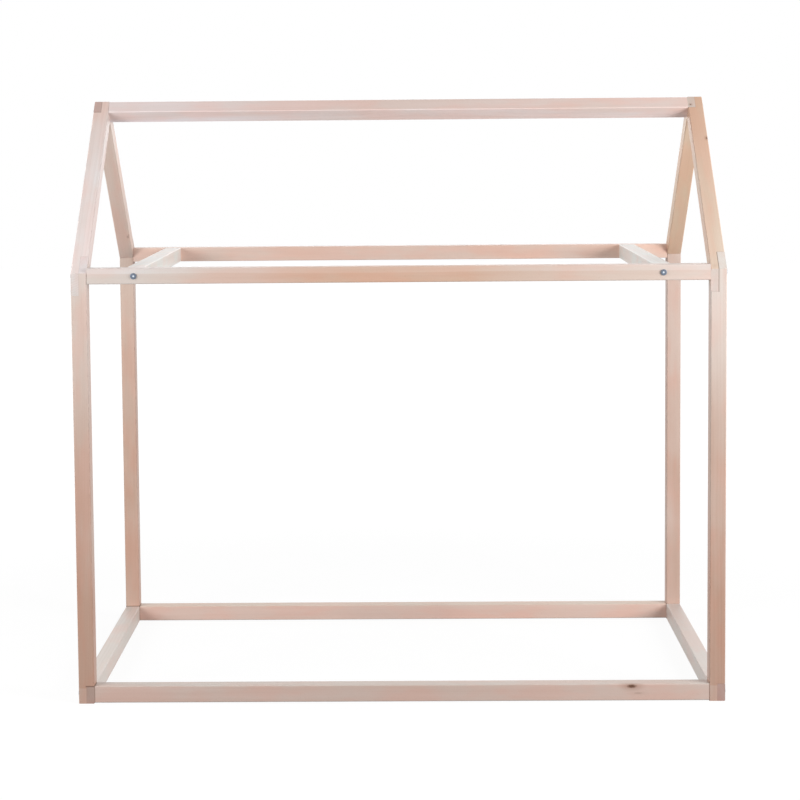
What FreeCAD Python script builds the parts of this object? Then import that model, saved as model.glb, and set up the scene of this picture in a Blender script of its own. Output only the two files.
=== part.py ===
"""House-shaped bed frame of square timber, taken apart into its pieces.

Two gable frames, each of two posts, two rafters and a side rail that are half-lapped into each
other, stand at the ends of the bed. Two bottom rails, two eave rails and a ridge beam run
between them and butt against their inner faces. Two ties run from eave rail to eave rail.
A long screw draws up every butt joint, and a dowel keeps the beam and the bottom rails from
turning.

The origin is on the floor under the middle of the bed. X runs along the bed, the front is
towards -Y and Z is up. Lengths are in millimetres and angles in degrees.
"""
import FreeCAD, Part
import math
import os

Vector = FreeCAD.Vector

# The frame
clear_length = 1406.0         # between the gable frames, for a mattress 1400 long
clear_width = 710.0           # between the long rails, for a mattress 700 wide
overall_height = 1380.0       # floor to the ridge's sharp edge
roof_pitch = 45.0             # slope of the rafters
timber = 36.0                 # side of the square section
easing = 1.5                  # bevel of the long arrises

# The rails
side_rail_height = 40.0       # the side rails stand on the floor
rail_floor_gap = 2.0          # the long bottom rails hang clear of the floor
eave_rail_rise = 11.0         # top of the eave rails above the kink of the gable
tie_width = 40.0
tie_gap = 86.0                # clear space between a tie and the gable beside it

# Screws and dowels
screw_diameter = 7.0          # over the thread
screw_length = 70.0           # under the head
screw_hole_play = 0.5         # all round the screw, in the timber that it passes through
thread_play = 0.05            # all round the screw, in the timber that it holds
screw_tip_room = 3.0          # hole past the tip
head_diameter = 14.0
head_height = 2.4
socket_across_flats = 4.0
socket_depth = 1.8
dowel_diameter = 8.0
dowel_length = 30.0
dowel_in_rail = 18.0
dowel_play = 0.1              # all round the dowel in its hole
dowel_end_play = 0.5          # hole past the dowel's end
dowel_edge = 7.0              # from the dowel's axis to the underside of a square timber

# What follows from them
slope = math.radians(roof_pitch)
half = timber / 2
inner_x = clear_length / 2
inner_y = clear_width / 2
outer_y = inner_y + timber
eave = overall_height - outer_y * math.tan(slope)
eave_rail_top = eave + eave_rail_rise
rafter_drop = timber / math.cos(slope)
bottom_rail_height = side_rail_height - rail_floor_gap
tie_x = inner_x - tie_gap - tie_width / 2
dowel_in_lap = dowel_length - dowel_in_rail
dowel_drop = half - dowel_edge
reach = 2 * overall_height    # longer than any piece, for cuts that run right through
overrun = 1.0                 # a drill starts this far outside the wood

FRONT, BACK = -1, 1
SIDES = {"front": FRONT, "back": BACK}
GABLE_X = {"left": -inner_x - timber, "right": inner_x}
LOW_HALF = (0.0, half)        # the half of a gable frame's thickness towards -X
HIGH_HALF = (half, timber)    # the half towards +X
BOTH = (0.0, timber)
DOWELLED = ("ridge", "foot")


# Timber

def eased(bar, direction):
    """The bar with its long arrises bevelled."""
    arrises = []
    for edge in bar.Edges:
        run = edge.Vertexes[-1].Point - edge.Vertexes[0].Point
        if run.cross(direction).Length < 1e-6:
            arrises.append(edge)
    return bar.makeChamfer(easing, arrises)


def bar_between(low, high, direction):
    """A bar that fills the box between two corners."""
    size = high - low
    return eased(Part.makeBox(size.x, size.y, size.z, low), direction)


def prism(outline, span):
    """An outline of (y, z) points, drawn out along X over the span."""
    corners = [Vector(span[0], y, z) for y, z in outline]
    face = Part.Face(Part.makePolygon(corners + corners[:1]))
    return face.extrude(Vector(span[1] - span[0], 0, 0))


def roof_height(side, y, depth=0.0):
    """Height of a roof slope's plane, or of the plane that lies depth inside it."""
    return overall_height - side * y * math.tan(slope) - depth / math.cos(slope)


def above_roof(side, depth, span):
    """All that lies over a roof slope's plane, across the span of X."""
    near = (-reach, roof_height(side, -reach, depth))
    far = (reach, roof_height(side, reach, depth))
    return prism([near, far, (reach, 2 * reach), (-reach, 2 * reach)], span)


def beyond(side, y, span):
    """All that lies further out than a distance y from the middle, across the span of X."""
    near, far = side * y, side * reach
    return prism([(near, -reach), (far, -reach), (far, reach), (near, reach)], span)


def below(z, span):
    """All that lies lower than z, across the span of X."""
    return prism([(-reach, -reach), (reach, -reach), (reach, z), (-reach, z)], span)


def rafter_blank(side):
    """A straight eased bar under one roof slope, too long at both ends."""
    spare = 2 * timber
    length = outer_y / math.cos(slope)
    bar = bar_between(Vector(0, -spare, -timber), Vector(timber, length + spare, 0), Vector(0, 1, 0))
    bar.rotate(Vector(0, 0, 0), Vector(1, 0, 0), roof_pitch)
    bar.translate(Vector(0, -outer_y, eave))
    if side == BACK:
        bar = bar.mirror(Vector(0, 0, 0), Vector(0, 1, 0))
    return bar


def post(side):
    """A post of one gable: its low half stands on the floor, its high half meets the roof."""
    near, far = sorted((side * inner_y, side * outer_y))
    top = roof_height(side, side * inner_y)
    bar = bar_between(Vector(0, near, 0), Vector(timber, far, top), Vector(0, 0, 1))
    bar = bar.cut(above_roof(side, 0.0, BOTH))
    bar = bar.cut(above_roof(side, timber, LOW_HALF))
    return bar.cut(below(side_rail_height, HIGH_HALF))


def rafter(side):
    """A rafter of one gable: its low half covers the post, and at the apex the halves pass."""
    through = LOW_HALF if side == BACK else HIGH_HALF
    stopped = HIGH_HALF if side == BACK else LOW_HALF
    bar = rafter_blank(side)
    bar = bar.cut(beyond(side, outer_y, LOW_HALF))
    bar = bar.cut(beyond(side, inner_y, HIGH_HALF))
    bar = bar.cut(above_roof(-side, 0.0, through))
    return bar.cut(above_roof(-side, timber, stopped))


def side_rail():
    """The rail on the floor: its high half runs past both posts to the outer faces."""
    low = Vector(0, -outer_y, 0)
    high = Vector(timber, outer_y, side_rail_height)
    bar = bar_between(low, high, Vector(0, 1, 0))
    for side in (FRONT, BACK):
        bar = bar.cut(beyond(side, inner_y, LOW_HALF))
    return bar


def long_rail(side, bottom, height):
    """A rail between the gables, flush with their outer faces."""
    near, far = sorted((side * inner_y, side * outer_y))
    low = Vector(-inner_x, near, bottom)
    high = Vector(inner_x, far, bottom + height)
    return bar_between(low, high, Vector(1, 0, 0))


def ridge_beam():
    """A beam turned on edge, whose upper faces carry on the faces of the rafters."""
    shoulder = half / math.sin(slope)
    middle = overall_height - rafter_drop / 2
    bottom = overall_height - rafter_drop
    outline = [(0, overall_height), (shoulder, middle), (0, bottom), (-shoulder, middle)]
    return eased(prism(outline, (-inner_x, inner_x)), Vector(1, 0, 0))


def cross_tie(x):
    """A tie from eave rail to eave rail, flush with them above and below."""
    low = Vector(x - tie_width / 2, -inner_y, eave_rail_top - timber)
    high = Vector(x + tie_width / 2, inner_y, eave_rail_top)
    return bar_between(low, high, Vector(0, 1, 0))


def gable(name):
    """The five half-lapped timbers of one gable frame. Both gables have the same hand."""
    pieces = {}
    for side_name, side in SIDES.items():
        pieces[side_name + "_" + name + "_post"] = post(side)
        pieces[side_name + "_" + name + "_rafter"] = rafter(side)
    pieces[name + "_side_rail"] = side_rail()
    for piece in pieces.values():
        piece.translate(Vector(GABLE_X[name], 0, 0))
    return pieces


# Fittings. Each is drawn about a joint whose plane is x = 0: the rail that is held runs towards
# +X, and the timber that it butts against lies between x = 0 and the screw's head.

def rod(diameter, start, end, drop=0.0):
    """A round bar along X, at a distance below the screw's axis."""
    return Part.makeCylinder(diameter / 2, end - start, Vector(start, 0, -drop), Vector(1, 0, 0))


def hexagon(across_flats, start, end):
    """A hexagonal bar along X."""
    radius = across_flats / math.sqrt(3)
    turns = [math.radians(60 * i) for i in range(6)]
    return prism([(radius * math.cos(a), radius * math.sin(a)) for a in turns], (start, end))


def screw():
    """A flat-headed connecting screw with a hexagon socket."""
    seat = -timber
    face = seat - head_height
    body = rod(head_diameter, face, seat).fuse(rod(screw_diameter, seat, seat + screw_length))
    return body.cut(hexagon(socket_across_flats, face - overrun, face + socket_depth))


def dowel():
    """A wooden pin under the screw."""
    return rod(dowel_diameter, -dowel_in_lap, dowel_in_rail, dowel_drop)


def passage():
    """The screw's hole through the timber that the rail butts against."""
    return rod(screw_diameter + 2 * screw_hole_play, -timber - overrun, 0)


def pilot():
    """The screw's hole in the end of the rail."""
    return rod(screw_diameter + 2 * thread_play, -overrun, screw_length - timber + screw_tip_room)


def dowel_hole():
    """The dowel's hole, blind at both ends."""
    start = -dowel_in_lap - dowel_end_play
    return rod(dowel_diameter + 2 * dowel_play, start, dowel_in_rail + dowel_end_play, dowel_drop)


def placed(shape, place, heading):
    """The shape moved to a joint and turned so that its x axis runs into the rail."""
    moved = shape.copy()
    moved.rotate(Vector(0, 0, 0), Vector(0, 0, 1), heading)
    moved.translate(place)
    return moved


def joints():
    """Each joint: kind, place, heading of the rail, timbers passed through and rail held."""
    rail_middle = rail_floor_gap + bottom_rail_height / 2
    found = []
    for end, way in (("left", 1), ("right", -1)):
        heading = 0 if way == 1 else 180
        apex = Vector(-way * inner_x, 0, overall_height - rafter_drop / 2)
        rafters = ["front_" + end + "_rafter", "back_" + end + "_rafter"]
        found.append(("ridge", apex, heading, rafters, "ridge_beam"))
        for side_name, side in SIDES.items():
            corner = side_name + "_" + end
            eave_rail = side_name + "_eave_rail"
            at_eave = Vector(-way * inner_x, side * (inner_y + half), eave_rail_top - half)
            found.append(("eave", at_eave, heading, [corner + "_post", corner + "_rafter"], eave_rail))
            at_foot = Vector(-way * inner_x, side * (inner_y + half), rail_middle)
            crossed = [corner + "_post", end + "_side_rail"]
            found.append(("foot", at_foot, heading, crossed, side_name + "_bottom_rail"))
            at_tie = Vector(-way * tie_x, side * inner_y, eave_rail_top - half)
            found.append(("tie", at_tie, -side * 90, [eave_rail], end + "_cross_tie"))
    return found


def build():
    """Every node's shape by name."""
    nodes = {}
    for name in GABLE_X:
        nodes.update(gable(name))
    for side_name, side in SIDES.items():
        nodes[side_name + "_bottom_rail"] = long_rail(side, rail_floor_gap, bottom_rail_height)
        nodes[side_name + "_eave_rail"] = long_rail(side, eave_rail_top - timber, timber)
    nodes["ridge_beam"] = ridge_beam()
    nodes["left_cross_tie"] = cross_tie(-tie_x)
    nodes["right_cross_tie"] = cross_tie(tie_x)

    groups = {}
    for kind, place, heading, crossed, rail in joints():
        for name in crossed:
            nodes[name] = nodes[name].cut(placed(passage(), place, heading))
        nodes[rail] = nodes[rail].cut(placed(pilot(), place, heading))
        groups.setdefault(kind + "_screws", []).append(placed(screw(), place, heading))
        if kind in DOWELLED:
            for name in crossed + [rail]:
                nodes[name] = nodes[name].cut(placed(dowel_hole(), place, heading))
            groups.setdefault(kind + "_dowels", []).append(placed(dowel(), place, heading))
    for name, solids in groups.items():
        nodes[name] = Part.makeCompound(solids)
    return nodes


def write(nodes):
    """One file for each node."""
    os.makedirs("parts", exist_ok=True)
    for name, shape in nodes.items():
        shape.exportStep("parts/" + name + ".step")
        print(name, len(shape.Solids), round(shape.Volume))


write(build())
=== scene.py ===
import math
from collections import namedtuple

import bmesh
import bpy
from bpy.props import FloatProperty, FloatVectorProperty, IntProperty, PointerProperty
from mathutils import Euler, Matrix, Vector


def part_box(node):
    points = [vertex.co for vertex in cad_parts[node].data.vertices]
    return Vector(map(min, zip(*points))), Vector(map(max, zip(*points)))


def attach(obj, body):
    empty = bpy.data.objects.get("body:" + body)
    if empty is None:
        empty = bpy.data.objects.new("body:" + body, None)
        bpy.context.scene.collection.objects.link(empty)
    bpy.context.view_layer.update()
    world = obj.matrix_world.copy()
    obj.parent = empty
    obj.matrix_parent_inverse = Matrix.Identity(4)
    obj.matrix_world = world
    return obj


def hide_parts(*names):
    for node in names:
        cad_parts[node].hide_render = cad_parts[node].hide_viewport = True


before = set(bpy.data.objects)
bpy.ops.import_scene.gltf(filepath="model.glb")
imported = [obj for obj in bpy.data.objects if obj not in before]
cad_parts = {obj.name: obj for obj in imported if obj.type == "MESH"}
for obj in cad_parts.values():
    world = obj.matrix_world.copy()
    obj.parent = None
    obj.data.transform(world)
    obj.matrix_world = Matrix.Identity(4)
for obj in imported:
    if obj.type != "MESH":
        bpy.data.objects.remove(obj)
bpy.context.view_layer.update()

bl_info = {
    "name": "House Frame Bed",
    "version": (1, 0, 0),
    "blender": (4, 5, 0),
    "location": "3D View > Sidebar > House Bed",
    "description": "Finishes the timbers, screws and dowels of a house frame bed "
                   "and lights it in a white studio",
    "category": "Object",
}

BODY = "root"
MM = 0.001


# ---- the frame's own sizes

def size_of(node):
    """Length, depth and height of a CAD node."""
    low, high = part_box(node)
    return high - low


def solids_of(node):
    """Lowest and highest corner of each of the node's solids, which lie in different quarters of the plan."""
    two_rows = size_of(node).y > 0.1
    quarters = {}
    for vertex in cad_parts[node].data.vertices:
        place = vertex.co
        key = (place.x > 0, two_rows and place.y > 0)
        quarters.setdefault(key, []).append(place)
    corners = []
    for key in sorted(quarters):
        places = quarters[key]
        low = Vector([min(place[i] for place in places) for i in range(3)])
        high = Vector([max(place[i] for place in places) for i in range(3)])
        corners.append((low, high))
    return corners


RIDGE_LINE = sum(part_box("ridge_beam"), Vector()) / 2
SCREW_LOW, SCREW_HIGH = solids_of("ridge_screws")[0]
DOWEL_LOW, DOWEL_HIGH = solids_of("ridge_dowels")[0]


# ---- what a user would change

def tint(name, description, default):
    """A colour setting."""
    return FloatVectorProperty(name=name, description=description, default=default,
                               size=3, min=0.0, max=1.0, subtype="COLOR")


def length(name, description, default):
    """A length setting in metres."""
    return FloatProperty(name=name, description=description, default=default, min=0.0,
                         precision=5, subtype="DISTANCE", unit="LENGTH")


def share(name, description, default):
    """A setting from none to all."""
    return FloatProperty(name=name, description=description, default=default,
                         min=0.0, max=1.0, subtype="FACTOR")


def watts(name, description, default):
    """The power of a lamp."""
    return FloatProperty(name=name, description=description, default=default, min=0.0, unit="POWER")


class HouseBedWood(bpy.types.PropertyGroup):
    """Colours and figure of the bare timber"""
    # On the posts the darker colour lies low and the paler colour high: painted shade, darker towards the
    # floor.
    post: tint("Posts", "Darker wood of the four posts", (0.50, 0.31, 0.235))
    rafter: tint("Rafters", "Darker wood of the four rafters", (0.62, 0.43, 0.34))
    side_rail: tint("Side rails", "Darker wood of the two side rails", (0.68, 0.59, 0.54))
    bottom_rail: tint("Bottom rails", "Darker wood of the two long bottom rails", (0.71, 0.51, 0.44))
    eave_rail: tint("Eave rails", "Darker wood of the two eave rails", (0.70, 0.445, 0.335))
    ridge: tint("Ridge beam", "Darker wood of the ridge beam", (0.74, 0.56, 0.49))
    tie: tint("Cross ties", "Wood of the two cross ties", (0.85, 0.80, 0.75))
    # This paler colour also paints the light on the upper parts of the posts.
    pale: tint("Paler wood", "Wood that the timbers turn to where they are palest", (0.69, 0.585, 0.53))
    seam: tint("Seams", "Colour in the gap of a tight joint", (0.16, 0.09, 0.06))
    dowel: tint("Dowels", "Middle tone of the dowels", (0.68, 0.50, 0.35))
    knot: tint("Knots", "Colour of a knot's core", (0.13, 0.06, 0.035))
    ring_width: length("Ring width", "Wood grown in one year", 2.6 * MM)
    wander: length("Wander", "How far the rings stray from true circles along the timber", 5.0 * MM)
    gap: length("Seam width", "Width of the dark line along a tight joint", 1.2 * MM)
    # The paler strip along each arris is a painted highlight; the strip is also smoother.
    arris: length("Sanded arris", "Width of the paler sanded strip along each arris", 3.2 * MM)
    figure: share("Figure", "Strength of the growth rings on the long faces", 0.15)
    flecks: share("Flecks", "Strength of the short ray flecks", 0.30)
    roughness: share("Roughness", "Roughness of the planed faces", 0.46)


class HouseBedScrew(bpy.types.PropertyGroup):
    """Sizes and colours of the connecting screws"""
    head_diameter: length("Head diameter", "Across the flat head", SCREW_HIGH.y - SCREW_LOW.y)
    head_height: length("Head height", "Thickness of the flat head", 2.4 * MM)
    rim: length("Rim", "Rounding of the head's upper edge", 0.55 * MM)
    socket: length("Socket", "Across the flats of the hexagon socket", 4.0 * MM)
    socket_depth: length("Socket depth", "Depth of the hexagon socket", 1.8 * MM)
    shank: length("Shank diameter", "Across the plain shank and the thread's crests", 7.0 * MM)
    core: length("Core diameter", "Across the thread's core", 4.8 * MM)
    neck: length("Plain shank", "Length of shank without a thread", 16.0 * MM)
    pitch: length("Pitch", "From one thread crest to the next", 4.0 * MM)
    # The head's dark blue-grey is painted reflection, standing for a dark room reflected in the steel.
    steel: tint("Head", "Plated steel of the head and shank", (0.17, 0.20, 0.25))
    # The socket floor's pale colour is a painted glint, standing for a lamp reflected in the socket.
    bright: tint("Socket floor", "Bare steel at the bottom of the socket", (0.86, 0.92, 0.98))
    roughness: share("Roughness", "Roughness of the plating", 0.34)


class HouseBedDowel(bpy.types.PropertyGroup):
    """Sizes of the fluted dowels"""
    diameter: length("Diameter", "Across the dowel", DOWEL_HIGH.y - DOWEL_LOW.y)
    flutes: IntProperty(name="Flutes", description="Grooves round the dowel", default=12, min=3, max=24)
    flute_depth: length("Flute depth", "Depth of a groove", 0.35 * MM)
    chamfer: length("Chamfer", "Chamfer at each end", 1.0 * MM)


class HouseBedStage(bpy.types.PropertyGroup):
    """Camera, lamps and floor"""
    focal_length: FloatProperty(name="Focal length", description="Lens on a 36 mm wide frame",
                                default=87.516, min=1.0, subtype="DISTANCE_CAMERA", unit="CAMERA")
    right_lamp: watts("Right lamp", "Power of the soft lamp at the right", 98.0)
    left_lamp: watts("Left lamp", "Power of the soft lamp at the left", 65.0)
    front_lamps: watts("Front lamps", "Power of each of the two small lamps in front", 4.4)
    back_lamp: watts("Back lamp", "Power of the wide lamp behind the bed", 22.0)
    room: share("Room light", "Light that comes from all round", 0.36)
    floor_tone: share("Floor", "Lightness of the floor as the timbers see it", 0.25)
    floor_shade: share("Floor shading", "How much of the floor's white takes the shadow", 0.10)


class HouseBedSettings(bpy.types.PropertyGroup):
    """Everything the add-on asks for"""
    wood: PointerProperty(type=HouseBedWood, name="Wood", description="The bare timber")
    screw: PointerProperty(type=HouseBedScrew, name="Screws", description="The connecting screws")
    dowel: PointerProperty(type=HouseBedDowel, name="Dowels", description="The fluted dowels")
    stage: PointerProperty(type=HouseBedStage, name="Stage", description="Camera, lamps and floor")


def settings():
    """The bed's settings in this scene."""
    return bpy.context.scene.house_bed


# ---- node trees in short calls

class Tree:
    """A shader node tree, with a short call for each kind of node that the finishes use."""

    def __init__(self, tree):
        self.tree = tree

    def feed(self, socket, value):
        """Links a socket to another, or gives it a fixed value."""
        if isinstance(value, bpy.types.NodeSocket):
            self.tree.links.new(value, socket)
        else:
            socket.default_value = value

    def add(self, kind, feeds=None, **values):
        """A node of that kind with its inputs fed and its properties set."""
        node = self.tree.nodes.new(kind)
        for name, value in values.items():
            setattr(node, name, value)
        for key, value in (feeds or {}).items():
            self.feed(node.inputs[key], value)
        return node

    def calc(self, operation, *values, clamp=False):
        """Arithmetic on numbers."""
        feeds = dict(enumerate(values))
        return self.add("ShaderNodeMath", feeds, operation=operation, use_clamp=clamp).outputs[0]

    def times(self, first, second):
        """A product of numbers."""
        return self.calc("MULTIPLY", first, second)

    def plus(self, first, second, clamp=False):
        """A sum of numbers."""
        return self.calc("ADD", first, second, clamp=clamp)

    def minus(self, first, second, clamp=False):
        """A difference of numbers."""
        return self.calc("SUBTRACT", first, second, clamp=clamp)

    def reckon(self, operation, *values, out="Vector"):
        """Arithmetic on vectors."""
        return self.add("ShaderNodeVectorMath", dict(enumerate(values)), operation=operation).outputs[out]

    def scaled(self, vector, factor):
        """A vector times a number."""
        return self.add("ShaderNodeVectorMath", {0: vector, "Scale": factor}, operation="SCALE").outputs[0]

    def stretched(self, vector, along, across):
        """Coordinates with one scale along the grain and another across it."""
        return self.reckon("MULTIPLY", vector, (along, across, across))

    def shifted(self, vector, seed, step):
        """Coordinates moved along the grain by a step for each seed, so that no two timbers match."""
        aside = self.add("ShaderNodeCombineXYZ", {"X": self.times(seed, step)})
        return self.reckon("ADD", vector, aside.outputs[0])

    def parts(self, vector):
        """The three numbers of a vector."""
        return self.add("ShaderNodeSeparateXYZ", {0: vector}).outputs

    def ease(self, value, start, end, low=0.0, high=1.0):
        """A smooth step from low to high as the value goes from start to end."""
        feeds = {"Value": value, "From Min": start, "From Max": end, "To Min": low, "To Max": high}
        return self.add("ShaderNodeMapRange", feeds, interpolation_type="SMOOTHSTEP").outputs["Result"]

    def fade(self, value, start, end):
        """A smooth step from 1 down to 0 as the value goes from start to end."""
        return self.ease(value, start, end, 1.0, 0.0)

    def blend(self, factor, first, second, blend_type="MIX"):
        """Two colours mixed, each a socket or a red, green and blue."""
        feeds = {"Factor": factor}
        for key, value in ((6, first), (7, second)):
            feeds[key] = (*value, 1.0) if isinstance(value, tuple) else value
        return self.add("ShaderNodeMix", feeds, data_type="RGBA", blend_type=blend_type,
                        clamp_factor=True).outputs[2]

    def mixed(self, factor, first, second):
        """Two shaders mixed."""
        return self.add("ShaderNodeMixShader", {0: factor, 1: first, 2: second}).outputs[0]

    def bump(self, shader, height, strength, distance):
        """Relief on a shader."""
        node = self.add("ShaderNodeBump", {"Strength": strength, "Distance": distance, "Height": height})
        self.feed(shader.inputs["Normal"], node.outputs[0])

    def noise(self, vector, scale=1.0, detail=2.0, roughness=0.5, out="Fac"):
        """Smooth noise."""
        feeds = {"Vector": vector, "Scale": scale, "Detail": detail, "Roughness": roughness}
        return self.add("ShaderNodeTexNoise", feeds, noise_dimensions="3D").outputs[out]

    def place(self, group, **values):
        """A node group with its inputs set; a space in an input's name is written as an underscore."""
        node = self.add("ShaderNodeGroup")
        node.node_tree = group
        for name, value in values.items():
            self.feed(node.inputs[name.replace("_", " ")], value)
        return node.outputs

    def ends(self, **results):
        """Ends a node group with its results, all numbers, named as in place, and returns its tree."""
        for name in results:
            self.tree.interface.new_socket(name.replace("_", " "), in_out="OUTPUT",
                                           socket_type="NodeSocketFloat")
        out = self.add("NodeGroupOutput").inputs
        for name, value in results.items():
            self.feed(out[name.replace("_", " ")], value)
        return self.tree


def new_group(name, vectors, numbers=()):
    """An empty shader node group: its tree and its incoming sockets."""
    tree = bpy.data.node_groups.new(name, "ShaderNodeTree")
    for kind, labels in (("Vector", vectors), ("Float", numbers)):
        for label in labels:
            tree.interface.new_socket(label, in_out="INPUT", socket_type="NodeSocket" + kind)
    work = Tree(tree)
    return work, work.add("NodeGroupInput").outputs


def new_material(name):
    """A material with nodes: itself, its tree and its surface shader."""
    material = bpy.data.materials.new(name)
    material.use_nodes = True
    return material, Tree(material.node_tree), material.node_tree.nodes["Principled BSDF"]


def group_once(make):
    """Builds a node group the first time it is asked for."""
    name = make.__doc__.split(":")[0]

    def wanted():
        return bpy.data.node_groups.get(name) or make(name)
    return wanted


# ---- the wood's effects, one group each

ACROSS_GRAIN = (0.0, 1.0, 1.0)     # what is left of a vector without its part along the grain
CUT_FROM, CUT_TO = 0.45, 0.80      # how squarely a face must cross the grain to count as cut end


@group_once
def growth_rings(name):
    """Growth rings: yearly rings about a pith line that runs along the timber."""
    t, given = new_group(name, ("Vector", "Pith"), ("Seed", "Ring Width", "Wander", "Bulge"))
    moved = t.shifted(given["Vector"], given["Seed"], 2.3)
    stray = t.noise(t.stretched(moved, 1.5, 7.0), detail=3.0, roughness=0.45, out="Color")
    stray = t.scaled(t.reckon("SUBTRACT", stray, (0.5, 0.5, 0.5)), t.times(given["Wander"], 3.0))
    section = t.reckon("MULTIPLY", t.reckon("SUBTRACT", given["Vector"], given["Pith"]), ACROSS_GRAIN)
    section = t.reckon("ADD", section, t.reckon("MULTIPLY", stray, ACROSS_GRAIN))
    distance = t.plus(t.reckon("LENGTH", section, out="Value"), given["Bulge"])
    uneven = t.noise(t.stretched(moved, 0.6, 90.0), detail=1.0)
    rings = t.plus(t.calc("DIVIDE", distance, given["Ring Width"]), uneven)
    part = t.calc("FRACT", rings)
    late = t.times(t.ease(part, 0.30, 0.90), t.fade(part, 0.93, 1.0))
    year = t.add("ShaderNodeTexWhiteNoise", {"W": t.calc("FLOOR", rings)}, noise_dimensions="1D")
    return t.ends(Late_Wood=late, Distance=distance, Year=year.outputs["Value"])


@group_once
def wood_fibre(name):
    """Wood fibre: fine streaks along the grain, and the short dark flecks of the rays."""
    t, given = new_group(name, ("Vector",), ("Seed",))
    moved = t.shifted(given["Vector"], given["Seed"], 1.7)
    streaks = t.noise(t.stretched(moved, 7.0, 330.0), detail=4.0, roughness=0.62)
    cells = t.add("ShaderNodeTexVoronoi", {"Vector": t.stretched(moved, 170.0, 1050.0), "Scale": 1.0},
                  voronoi_dimensions="3D", feature="F1")
    chosen = t.add("ShaderNodeSeparateColor", {0: cells.outputs["Color"]})
    flecks = t.times(t.fade(cells.outputs["Distance"], 0.10, 0.34), t.ease(chosen.outputs[0], 0.35, 0.9))
    fuzz = t.noise(t.stretched(moved, 45.0, 1600.0), detail=2.0)
    return t.ends(Streaks=streaks, Flecks=flecks, Fuzz=fuzz)


@group_once
def board_tone(name):
    """Board tone: long bands along the grain, paler and darker reaches, and a blush from tan to pink."""
    t, given = new_group(name, ("Vector",), ("Seed",))
    moved = t.shifted(given["Vector"], given["Seed"], 3.1)
    bands = t.noise(t.stretched(moved, 1.9, 46.0), detail=3.0, roughness=0.55)
    drift = t.noise(t.stretched(moved, 5.5, 14.0), detail=2.0)
    aslant = t.reckon("ADD", t.stretched(moved, 8.0, 28.0), (3.0, 5.0, 7.0))
    return t.ends(Bands=bands, Drift=drift, Blush=t.noise(aslant, detail=2.0))


@group_once
def pale_share_along_length(name):
    """Length drift: a share that changes from a timber's ends to its middle, and once more at its foot."""
    t, given = new_group(name, ("Vector",),
                         ("Half Length", "Start", "Middle", "Finish", "Foot", "Foot Height"))
    length_wise = t.parts(given["Vector"])["X"]
    along = t.calc("DIVIDE", length_wise, given["Half Length"])
    to_finish = t.ease(along, 0.0, 1.0)
    to_start = t.ease(along, 0.0, -1.0)
    grown = t.times(to_finish, t.minus(given["Finish"], given["Middle"]))
    grown = t.plus(grown, given["Middle"])
    lost = t.times(to_start, t.minus(given["Start"], given["Middle"]))
    reached = t.plus(grown, lost)
    height = t.plus(length_wise, given["Half Length"])
    low = t.fade(height, t.times(given["Foot Height"], 0.85), given["Foot Height"])
    return t.ends(Share=t.plus(reached, t.times(low, t.minus(given["Foot"], reached))))


@group_once
def tight_seam(name):
    """Tight seam: a thin line where the surface crosses the plane of a joint, inside the joint's box."""
    t, given = new_group(name, ("Vector", "Normal", "Facing", "Centre", "Half Size"), ("Offset", "Width"))
    height = t.reckon("DOT_PRODUCT", given["Vector"], given["Facing"], out="Value")
    away = t.calc("ABSOLUTE", t.minus(height, given["Offset"]))
    line = t.fade(away, t.times(given["Width"], 0.25), t.times(given["Width"], 0.6))
    past = t.reckon("ABSOLUTE", t.reckon("SUBTRACT", given["Vector"], given["Centre"]))
    past = t.parts(t.reckon("SUBTRACT", past, given["Half Size"]))
    furthest = t.calc("MAXIMUM", past["X"], t.calc("MAXIMUM", past["Y"], past["Z"]))
    inside = t.calc("LESS_THAN", furthest, 0.0)
    along = t.calc("ABSOLUTE", t.reckon("DOT_PRODUCT", given["Normal"], given["Facing"], out="Value"))
    crosses = t.calc("LESS_THAN", along, 0.75)
    return t.ends(Seam=t.times(line, t.times(inside, crosses)))


@group_once
def highlit_sanded_arris(name):
    """Sanded arris: a strip along each long arris, from the timber's half width and half height."""
    t, given = new_group(name, ("Vector",), ("Half Width", "Half Height", "Reach"))
    section = t.parts(given["Vector"])
    from_side = t.minus(given["Half Width"], t.calc("ABSOLUTE", section["Y"]))
    from_top = t.minus(given["Half Height"], t.calc("ABSOLUTE", section["Z"]))
    inward = t.calc("MAXIMUM", from_side, from_top)
    ragged = t.noise(t.stretched(given["Vector"], 28.0, 160.0), detail=2.0)
    reach = t.times(given["Reach"], t.plus(ragged, 0.5))
    return t.ends(Arris=t.fade(inward, t.times(reach, 0.25), reach))


@group_once
def cut_end(name):
    """Cut end: how squarely a face lies across a direction, such as the timber's or the upright."""
    t, given = new_group(name, ("Normal", "Direction"))
    across = t.calc("ABSOLUTE", t.reckon("DOT_PRODUCT", given["Normal"], given["Direction"], out="Value"))
    return t.ends(End=t.ease(across, CUT_FROM, CUT_TO))


@group_once
def pin_knot(name):
    """Pin knot: a knot's dark core, its halo, and how far it pushes the rings aside."""
    t, given = new_group(name, ("Vector", "Centre"), ("Radius", "Stretch"))
    squeeze = t.add("ShaderNodeCombineXYZ",
                    {"X": t.calc("DIVIDE", 1.0, given["Stretch"]), "Y": 1.0, "Z": 1.0})
    away = t.reckon("MULTIPLY", t.reckon("SUBTRACT", given["Vector"], given["Centre"]), squeeze.outputs[0])
    ragged = t.times(t.noise(given["Vector"], scale=420.0, detail=3.0), 0.5)
    reach = t.calc("DIVIDE", t.reckon("LENGTH", away, out="Value"), given["Radius"])
    edge = t.plus(reach, ragged)
    bulge = t.times(given["Radius"], t.ease(reach, 0.0, 4.5, 1.6, 0.0))
    return t.ends(Core=t.fade(edge, 0.55, 1.35), Halo=t.fade(edge, 0.9, 3.2), Bulge=bulge)


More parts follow.
